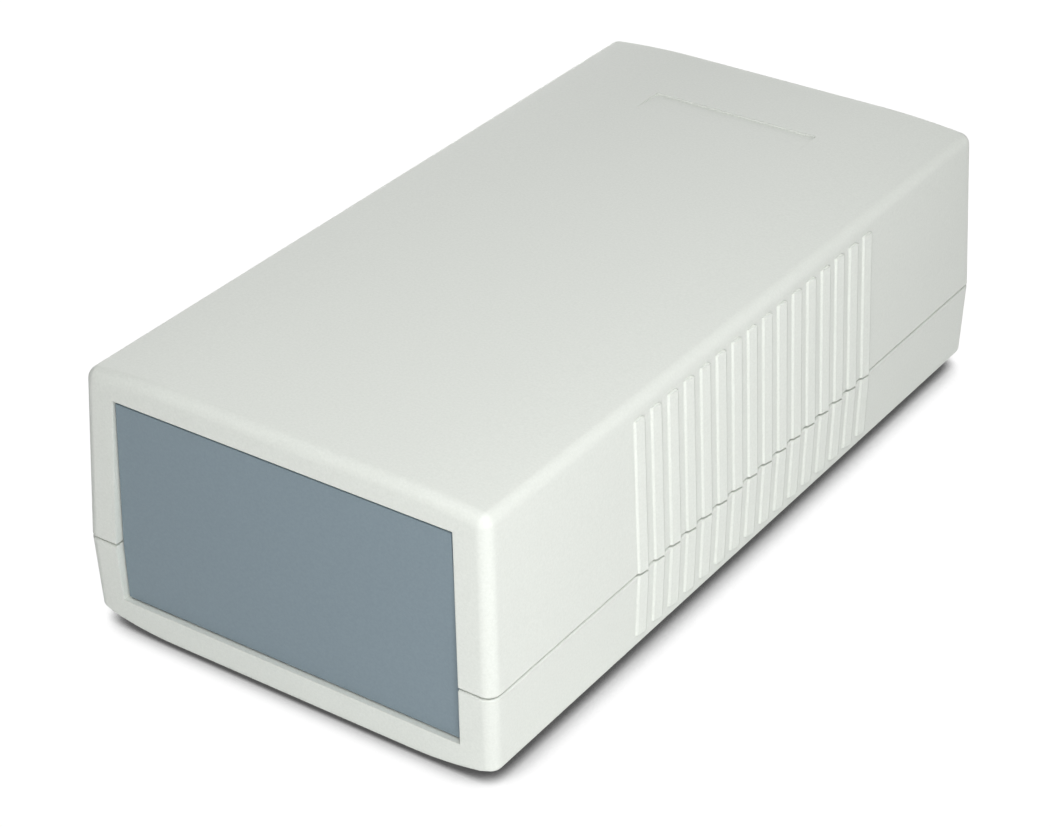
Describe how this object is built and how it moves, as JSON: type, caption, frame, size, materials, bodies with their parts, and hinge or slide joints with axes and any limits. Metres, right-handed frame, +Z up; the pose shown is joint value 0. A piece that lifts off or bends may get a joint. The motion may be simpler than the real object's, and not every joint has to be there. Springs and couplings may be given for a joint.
{
  "type": "plastic project box",
  "caption": "Two-shell plastic electronics enclosure with ribbed sides, a flat panel held in a frame at each end, screws from below and small rubber feet.",
  "frame": {"origin": "middle of the case's plan, on the surface that its feet stand on", "axes": "+Z up, the front panel faces -Y, the case's length runs along Y and its width along X"},
  "size_m": [0.126, 0.241, 0.076],
  "materials": {
    "shell": "fine spark-eroded off-white",
    "panel": "fine spark-eroded grey-blue",
    "screw": "zinc plated",
    "foot": "matt"
  },
  "bodies": {
    "root": {"lower_shell": "shell", "upper_shell": "shell", "front_panel": "panel", "rear_panel": "panel", "case_screws": "screw", "foot_front_left": "foot", "foot_front_right": "foot", "foot_rear_left": "foot", "foot_rear_right": "foot"}
  },
  "joints": []
}
